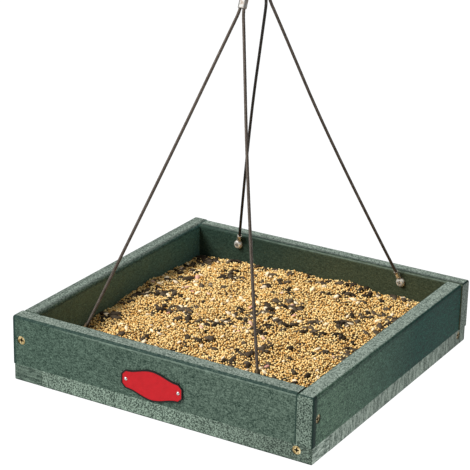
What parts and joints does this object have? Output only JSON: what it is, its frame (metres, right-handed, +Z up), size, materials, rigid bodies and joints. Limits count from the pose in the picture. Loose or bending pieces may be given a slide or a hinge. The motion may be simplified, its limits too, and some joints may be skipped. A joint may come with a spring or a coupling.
{
  "type": "hanging bird feeding tray",
  "caption": "Square open seed tray of moulded green boards with a ledge below, hung on steel cable loops from a bent-wire hook.",
  "frame": {"origin": "inside top of the hook's crook, where a branch or a bracket carries the feeder", "axes": "+Z up, +X to the right of the tray seen from its front, -Y to the front, where the nameplate is"},
  "size_m": [0.3004, 0.301, 0.4548],
  "materials": {
    "hook_wire": "bright plated wire",
    "cable_steel": "dark coated steel cable",
    "ferrule_metal": "crimped sleeve, satin",
    "brass": "satin brass",
    "board_plastic": "muted green moulded board, fine streaks along its length",
    "ledge_plastic": "lighter grey green, sawn and speckled",
    "floor_sheet": "perforated sheet, satin",
    "plate_paint": "red enamel field with a black rim",
    "rivet_metal": "polished dome",
    "seed": "mixed seed, mostly tan millet"
  },
  "bodies": {
    "hook": {"hanging_hook": "hook_wire"},
    "loop_tops": {"front_cable_bight": "cable_steel", "back_cable_bight": "cable_steel"},
    "tray": {"front_left_cable": "cable_steel", "front_right_cable": "cable_steel", "back_left_cable": "cable_steel", "back_right_cable": "cable_steel", "front_ferrule": "ferrule_metal", "back_ferrule": "ferrule_metal", "front_left_lug": "brass", "front_right_lug": "brass", "back_left_lug": "brass", "back_right_lug": "brass", "lug_screws": "brass", "board_corner_screws": "brass", "ledge_corner_screws": "brass", "ledge_fixing_screws": "brass", "front_board": "board_plastic", "right_board": "board_plastic", "back_board": "board_plastic", "left_board": "board_plastic", "front_ledge_strip": "ledge_plastic", "right_ledge_strip": "ledge_plastic", "back_ledge_strip": "ledge_plastic", "left_ledge_strip": "ledge_plastic", "floor_screen": "floor_sheet", "nameplate": "plate_paint", "nameplate_rivets": "rivet_metal", "seed_bed": "seed"}
  },
  "joints": [
    {"name": "fore_aft_swing", "type": "hinge", "parent": "hook", "child": "loop_tops", "pos_m": [0, 0, -0.07115], "axis": [1, 0, 0], "range_deg": [-30, 30]},
    {"name": "side_swing", "type": "hinge", "parent": "loop_tops", "child": "tray", "pos_m": [0, 0, -0.07551], "axis": [0, 1, 0], "range_deg": [-30, 30], "deforming": ["front_cable_bight", "back_cable_bight"]}
  ]
}
